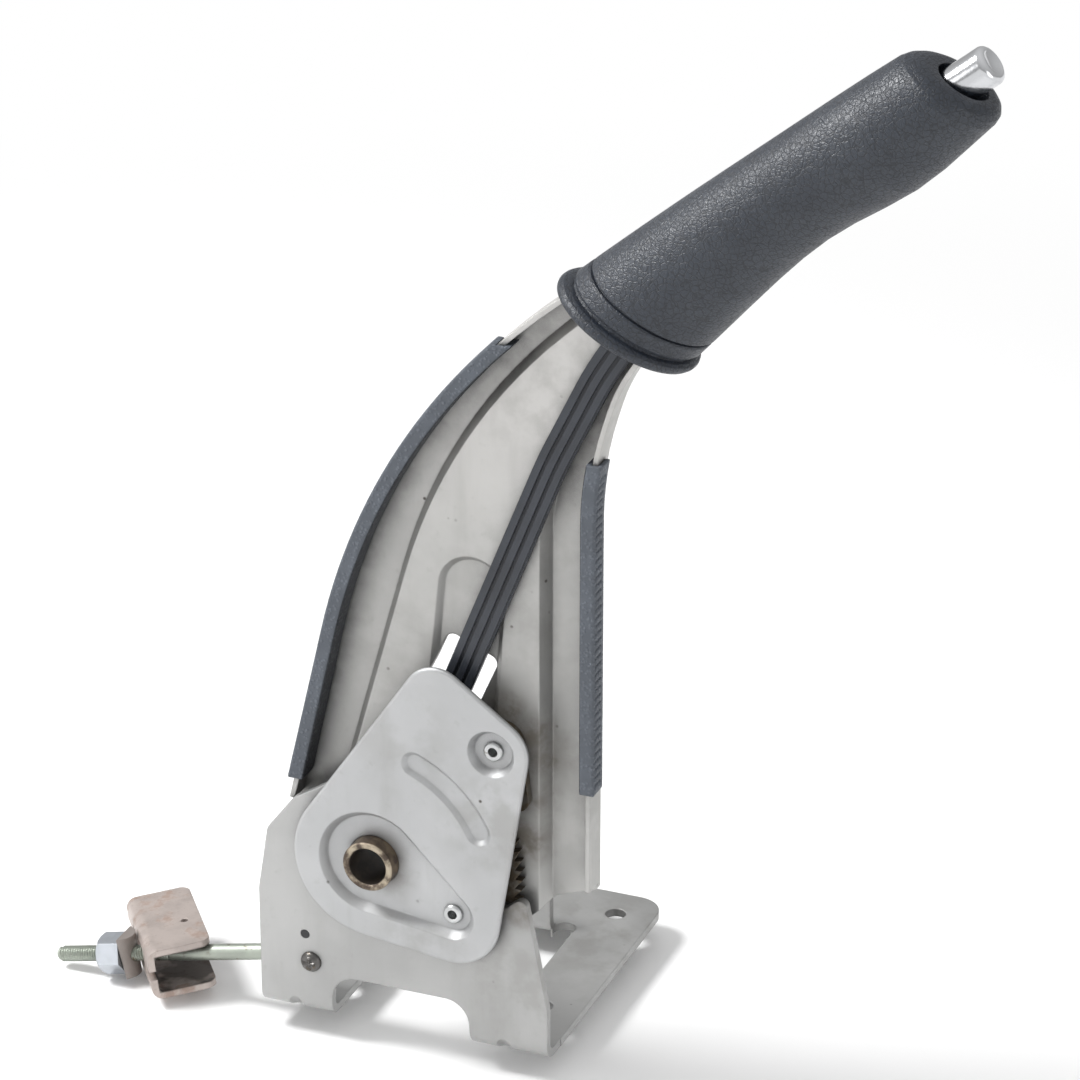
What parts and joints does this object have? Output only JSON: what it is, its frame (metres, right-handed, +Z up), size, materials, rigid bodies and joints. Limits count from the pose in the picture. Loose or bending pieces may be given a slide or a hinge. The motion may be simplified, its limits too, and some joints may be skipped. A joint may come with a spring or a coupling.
{
  "type": "parking brake lever",
  "caption": "Hand parking brake lever in zinc-plated steel on a bolt-down bracket, with ratchet, pawl, push button, soft grip, pull rod and cable yoke",
  "frame": {"origin": "the middle of the four bolt holes, on the underside of the base plate", "axes": "+X along the base towards the hand end (-X towards the cables), +Y across the base away from the upright plate, +Z up off the floor"},
  "size_m": [0.3342, 0.1279, 0.3834],
  "materials": {
    "zinc_bracket": "plain zinc plate with faint stains and dark specks",
    "zinc_arm": "plain zinc plate, dull, with brown dirt near the step",
    "zinc_cover": "plain zinc plate, smooth",
    "hard_steel": "hardened steel with brown grease",
    "bright_steel": "bright rivet steel",
    "dark_steel": "worn steel with old grease",
    "spring_steel": "spring wire",
    "rod_steel": "pale greenish zinc",
    "nut_zinc": "bright zinc",
    "yoke_steel": "zinc gone brown in patches",
    "dark_screw": "dark domed screw",
    "brass_blade": "plain blade",
    "chrome_button": "polished",
    "grip_skin": "charcoal with a fine leather grain",
    "trim_rubber": "dark blue-grey, fine pimpled",
    "black_plastic": "near black, smooth",
    "bush_plastic": "black bearing plastic",
    "switch_plastic": "black",
    "switch_plunger_plastic": "off white"
  },
  "bodies": {
    "bracket": {"base_bracket": "zinc_bracket", "ratchet_sector": "hard_steel", "sector_rivets": "bright_steel", "pivot_tube": "dark_steel", "pivot_washer": "dark_steel", "switch_body": "switch_plastic", "switch_terminal": "brass_blade", "switch_screw": "dark_screw"},
    "lever": {"lever_arm": "zinc_arm", "cover_plate": "zinc_cover", "pivot_bush": "bush_plastic", "pawl_pin": "bright_steel", "stop_rivet": "bright_steel", "pull_pin": "bright_steel", "pull_pin_clip": "spring_steel", "grip": "grip_skin", "button_guide": "black_plastic", "left_edge_trim": "trim_rubber", "right_edge_trim": "trim_rubber", "button_spring": "spring_steel", "pawl_spring": "spring_steel"},
    "pawl_body": {"pawl": "hard_steel"},
    "button": {"push_button": "chrome_button"},
    "strip": {"release_strip": "black_plastic"},
    "rod": {"pull_rod": "rod_steel"},
    "seat": {"seat_washer": "dark_steel"},
    "nut": {"adjusting_nut": "nut_zinc"},
    "yoke": {"equaliser_yoke": "yoke_steel"},
    "plunger": {"switch_plunger": "switch_plunger_plastic"}
  },
  "joints": [
    {"name": "lever_swing", "type": "hinge", "parent": "bracket", "child": "lever", "pos_m": [-0.0084, -0.062, 0.0665], "axis": [0, -1, 0], "range_deg": [-32, 6]},
    {"name": "button_press", "type": "slide", "parent": "lever", "child": "button", "axis": [-0.7771, 0, -0.6293], "range_m": [0, 0.005], "stiffness_N_per_m": 900, "springref_m": -0.004, "deforming": ["button_spring"]},
    {"name": "strip_slide", "type": "slide", "parent": "lever", "child": "strip", "axis": [-0.4647, 0, -0.8855], "range_m": [0, 0.00545]},
    {"name": "pawl_swing", "type": "hinge", "parent": "lever", "child": "pawl_body", "pos_m": [0.0356, -0.0605, 0.116], "axis": [0, -1, 0], "range_deg": [0, 13.5]},
    {"name": "rod_swing", "type": "hinge", "parent": "lever", "child": "rod", "pos_m": [0.002, -0.0536, 0.0269], "axis": [0, -1, 0], "range_deg": [-6, 32]},
    {"name": "seat_travel", "type": "slide", "parent": "rod", "child": "seat", "axis": [0.9759, 0, 0.2181], "range_m": [-0.006, 0.008]},
    {"name": "nut_turn", "type": "hinge", "parent": "seat", "child": "nut", "pos_m": [-0.11062, -0.0536, 0.00173], "axis": [0.9759, 0, 0.2181], "range_deg": [-2160, 2880]},
    {"name": "yoke_sway", "type": "hinge", "parent": "seat", "child": "yoke", "pos_m": [-0.11209, -0.0536, 0.0014], "axis": [-0.1305, 0, 0.9914], "range_deg": [-60, 0]},
    {"name": "plunger_press", "type": "slide", "parent": "bracket", "child": "plunger", "axis": [-1, 0, 0], "range_m": [-0.0008, 0.0042]}
  ],
  "couplings": [
    {"joint": "strip_slide", "follows": "button_press", "ratio": 1.09},
    {"joint": "pawl_swing", "follows": "button_press", "rad_per_m": 47.12},
    {"joint": "rod_swing", "follows": "lever_swing", "ratio": -1},
    {"joint": "nut_turn", "follows": "seat_travel", "rad_per_m": 6283},
    {"joint": "plunger_press", "follows": "lever_swing", "m_per_rad": -0.00716}
  ]
}
